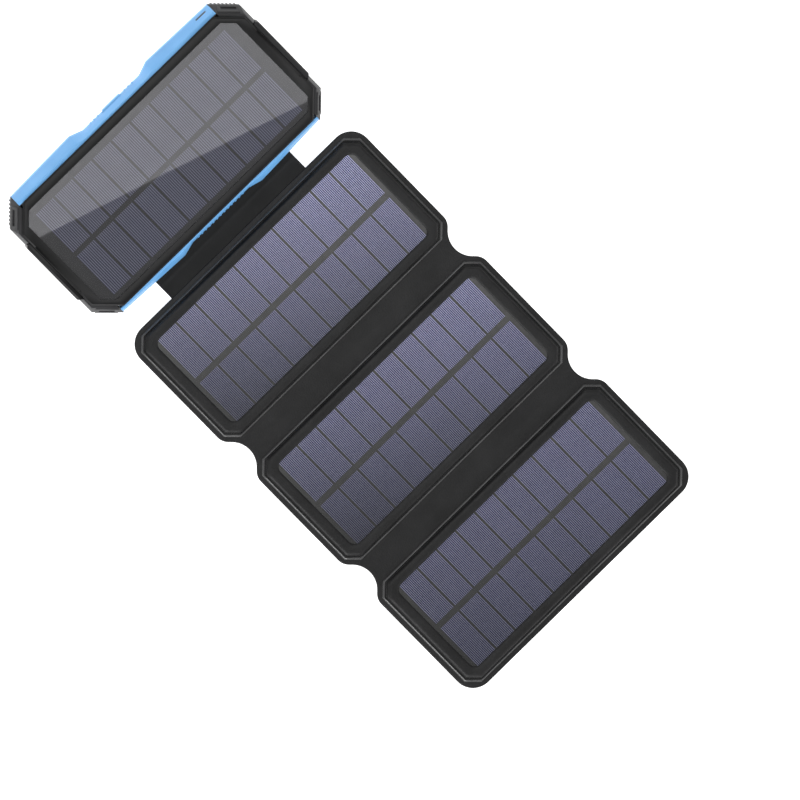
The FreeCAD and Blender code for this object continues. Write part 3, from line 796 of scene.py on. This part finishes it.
# %% [markdown]
# ## The leather strips between panels
# A strip is two layers of leather that carry two flat conductors and bend when the
# wallet folds. It has to roll, so it is cut into narrow bands by bisecting, creased
# along its middle and given a few soft waves.

# %% Strip tools
crease_width = 0.12
skin_margin = 0.05 * mm
wave_length, wave_width = 14 * mm, 5 * mm


def band_cuts(bm, axis, low, high, step):
    """Cuts the mesh across one axis at even steps, so that it can bend there."""
    normal = Vector((1, 0, 0)) if axis == 0 else Vector((0, 1, 0))
    place = low + step
    while place < high - step / 2:
        geom = list(bm.verts) + list(bm.edges) + list(bm.faces)
        bmesh.ops.bisect_plane(bm, geom=geom, plane_co=normal * place, plane_no=normal)
        place += step


def drop_inner_faces(bm, seam_lines):
    """Removes the conductor channels and the end faces of the half strips."""
    def inside_face(face):
        heights = [v.co.z for v in face.verts]
        in_channel = min(heights) > skin_margin and max(heights) < hinge_top - skin_margin
        return in_channel or on_line(face, seam_lines)
    gone = [f for f in bm.faces if inside_face(f)]
    bmesh.ops.delete(bm, geom=gone, context="FACES")
    bmesh.ops.remove_doubles(bm, verts=bm.verts, dist=0.01 * mm)


def soft_relief(bm, middle_y, half_span, crease_depth, wave_depth):
    """On the upper face, a shallow crease in the middle and waves that fade at the seams."""
    for vert in [v for v in bm.verts if v.co.z > hinge_top / 2]:
        across = (vert.co.y - middle_y) / half_span
        fade = max(0.0, 1 - across * across)
        crease = crease_depth * math.exp(-(across / crease_width) ** 2)
        at = Vector((vert.co.x / wave_length, vert.co.y / wave_width, 0))
        vert.co.z += fade * (wave_depth * noise.noise(at) - crease)


print("strip tools ready")

# %% [markdown]
# ### Making the strips
# In the frame each strip is two stiff halves that meet at the crease. They could be
# shown as they are, but a gap would open between them halfway through the fold. So
# both halves are merged into one leather, which is laid between the two panels.

# %% Strips
band_step, column_step, past_edge = 0.6 * mm, 2.0 * mm, 78 * mm
strip_crease, strip_wave = 0.06 * mm, 0.16 * mm


def leather_strip(number):
    """Both halves of a strip as one leather, laid from panel to panel."""
    inner, outer = "strip_%d_inner" % number, "strip_%d_outer" % number
    (a_low, a_high), (b_low, b_high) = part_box(inner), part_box(outer)
    low_y, high_y = min(a_low.y, b_low.y), max(a_high.y, b_high.y)
    crease_y = a_high.y if abs(a_high.y - b_low.y) < 0.1 * mm else a_low.y
    bm = copy_of(inner, outer)
    drop_inner_faces(bm, (low_y, crease_y, high_y))
    bmesh.ops.dissolve_limit(bm, angle_limit=flat_angle, verts=bm.verts, edges=bm.edges)
    waist = level_edges(sharp_edges(bm, square_edge_angle))
    round_edges(bm, waist, roll_radius, roll_segments)
    band_cuts(bm, 1, low_y, high_y, band_step)
    band_cuts(bm, 0, -past_edge, past_edge, column_step)
    soft_relief(bm, crease_y, (high_y - low_y) / 2, strip_crease, strip_wave)
    piece = piece_from(bm, "strip_%d_leather" % number, leather, None,
                       (inner, outer, inner + "_leads", outer + "_leads"), 60)
    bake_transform(piece)
    return piece


strips = [leather_strip(number) for number in (1, 2)]
print("strips", [len(s.data.polygons) for s in strips])

# %% [markdown]
# ## The flap to the power bank
# The flap is a plain smooth tab, folded in the middle and clamped under the case. A
# flat grid is extruded to its thickness, and its two side edges are rolled.

# %% Flap
flap_columns, flap_rows = 46, 55
flap_crease, flap_wave = 0.12 * mm, 0.08 * mm


def bank_flap():
    """One leather from the first panel to the bank, with a shallow crease in its middle."""
    (a_low, a_high), (b_low, b_high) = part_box("flap_inner"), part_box("flap_outer")
    centre = Vector((0, (a_low.y + b_high.y) / 2, 0))
    half = Vector((a_high.x, (b_high.y - a_low.y) / 2, 1))
    bm = bmesh.new()
    verts = bmesh.ops.create_grid(bm, x_segments=flap_columns, y_segments=flap_rows,
                                  size=1.0)["verts"]
    bmesh.ops.scale(bm, vec=half, verts=verts)
    bmesh.ops.translate(bm, vec=centre, verts=verts)
    base = list(bm.faces)
    raised = bmesh.ops.extrude_face_region(bm, geom=base)["geom"]
    top = [v for v in raised if isinstance(v, bmesh.types.BMVert)]
    bmesh.ops.translate(bm, vec=(0, 0, hinge_top), verts=top)
    bmesh.ops.recalc_face_normals(bm, faces=bm.faces)
    ends = (a_low.y, b_high.y)
    sides = [e for e in sharp_edges(bm, square_edge_angle) if not on_line(e, ends)]
    round_edges(bm, level_edges(sides), roll_radius, roll_segments)
    soft_relief(bm, centre.y, half.y, flap_crease, flap_wave)
    piece = piece_from(bm, "bank_flap_leather", flap_leather, None,
                       ("flap_inner", "flap_outer", "flap_inner_leads", "flap_outer_leads"), 60)
    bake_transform(piece)
    return piece


flap = bank_flap()
soften_node("flap_tongue", flap_leather, "power_bank", 0.2 * mm)
print("flap", len(flap.data.polygons))

# %% [markdown]
# ## Floor, light and backdrop
# A white table that glows a little, with light from three sides, leaves almost no
# shadow. The sky is dimmer, so that the black parts stay black. The lower two lights
# come in flat, which draws the bright line along the welts, together with the painted
# highlight in the welts' lighter colour.

# %% Floor and light tools
floor_half, floor_drop, floor_glow = 4.0, 0.05 * mm, 0.85


def make_floor():
    bm = bmesh.new()
    bmesh.ops.create_grid(bm, x_segments=1, y_segments=1, size=floor_half)
    bmesh.ops.translate(bm, vec=(0, 0, -floor_drop), verts=bm.verts)
    mesh = bpy.data.meshes.new("table_top")
    bm.to_mesh(mesh)
    bm.free()
    floor = bpy.data.objects.new("table_top", mesh)
    finish, _, shader = start_finish("table_white")
    shader.inputs["Base Color"].default_value = (0.95, 0.95, 0.95, 1)
    shader.inputs["Roughness"].default_value = 0.9
    shader.inputs["Specular IOR Level"].default_value = 0.1
    shader.inputs["Emission Color"].default_value = (1, 1, 1, 1)
    shader.inputs["Emission Strength"].default_value = floor_glow
    mesh.materials.append(finish)
    bpy.context.scene.collection.objects.link(floor)


def area_light(name, place, target, width, height, power):
    """A rectangular light that looks from its place at its target."""
    data = bpy.data.lights.new(name, "AREA")
    data.shape = "RECTANGLE"
    data.size, data.size_y, data.energy = width, height, power
    light = bpy.data.objects.new(name, data)
    light.location = place
    direction = Vector(target) - Vector(place)
    light.rotation_mode = "QUATERNION"
    light.rotation_quaternion = direction.to_track_quat("-Z", "Y")
    light.visible_camera = False
    bpy.context.scene.collection.objects.link(light)
    return light


print("stage tools ready")

# %% [markdown]
# ### Setting the stage
# A plain grey-white sky gives the even part of the light. The side lights could be
# one ring, but separate panels light each flank of a bump differently, which is what
# shows its shape. The view transform is Standard, so that white stays white.

# %% Stage
sky_strength = 0.32
side_lights = {"light_left": ((-1.5, -0.7, 0.75), 1.2, 0.7, 26),
               "light_right": ((0.5, -1.6, 0.8), 1.2, 0.7, 11),
               "light_far": ((0.3, 1.8, 1.2), 1.2, 1.2, 9)}

make_floor()
sky = bpy.data.worlds.new("studio_sky")
sky.use_nodes = True
sky.node_tree.nodes["Background"].inputs["Color"].default_value = (1, 1, 1, 1)
sky.node_tree.nodes["Background"].inputs["Strength"].default_value = sky_strength
bpy.context.scene.world = sky
bpy.context.scene.view_settings.view_transform = "Standard"
for name, (place, width, height, power) in side_lights.items():
    area_light(name, place, (0, 0, 0), width, height, power)
print("side lights", list(side_lights))

# %% [markdown]
# ### The light in the gloss
# One large soft panel hangs overhead, and the resin over the bank's cells mirrors it.
# Its edge draws the diagonal there, so it is placed by following the line of sight
# down to the cover and up again to the panel's height.

# %% Overhead panel
gloss_shift = Vector((-2.3 * mm, -4.2 * mm, 0))
panel_height = 1.0
panel_length, panel_depth, panel_glow = 1.2, 0.5, 2.6
edge_direction = Vector((1, -0.318, 0)).normalized()

cover_low, cover_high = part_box("bank_cover_sheet")
gloss_point = (cover_low + cover_high) / 2 + gloss_shift
gloss_point.z = cover_high.z
seen_along = gloss_point - camera.matrix_world.translation
bounced = Vector((seen_along.x, seen_along.y, -seen_along.z))
edge_point = gloss_point + bounced * (panel_height - gloss_point.z) / bounced.z
away = Vector((-edge_direction.y, edge_direction.x, 0))
panel_middle = edge_point + away * panel_depth / 2
panel_power = panel_glow * math.pi * panel_length * panel_depth
softbox = area_light("light_overhead", panel_middle, panel_middle - Vector((0, 0, 1)),
                     panel_length, panel_depth, panel_power)
roll = Matrix((edge_direction, away, Vector((0, 0, 1)))).transposed()
softbox.rotation_quaternion = roll.to_quaternion()
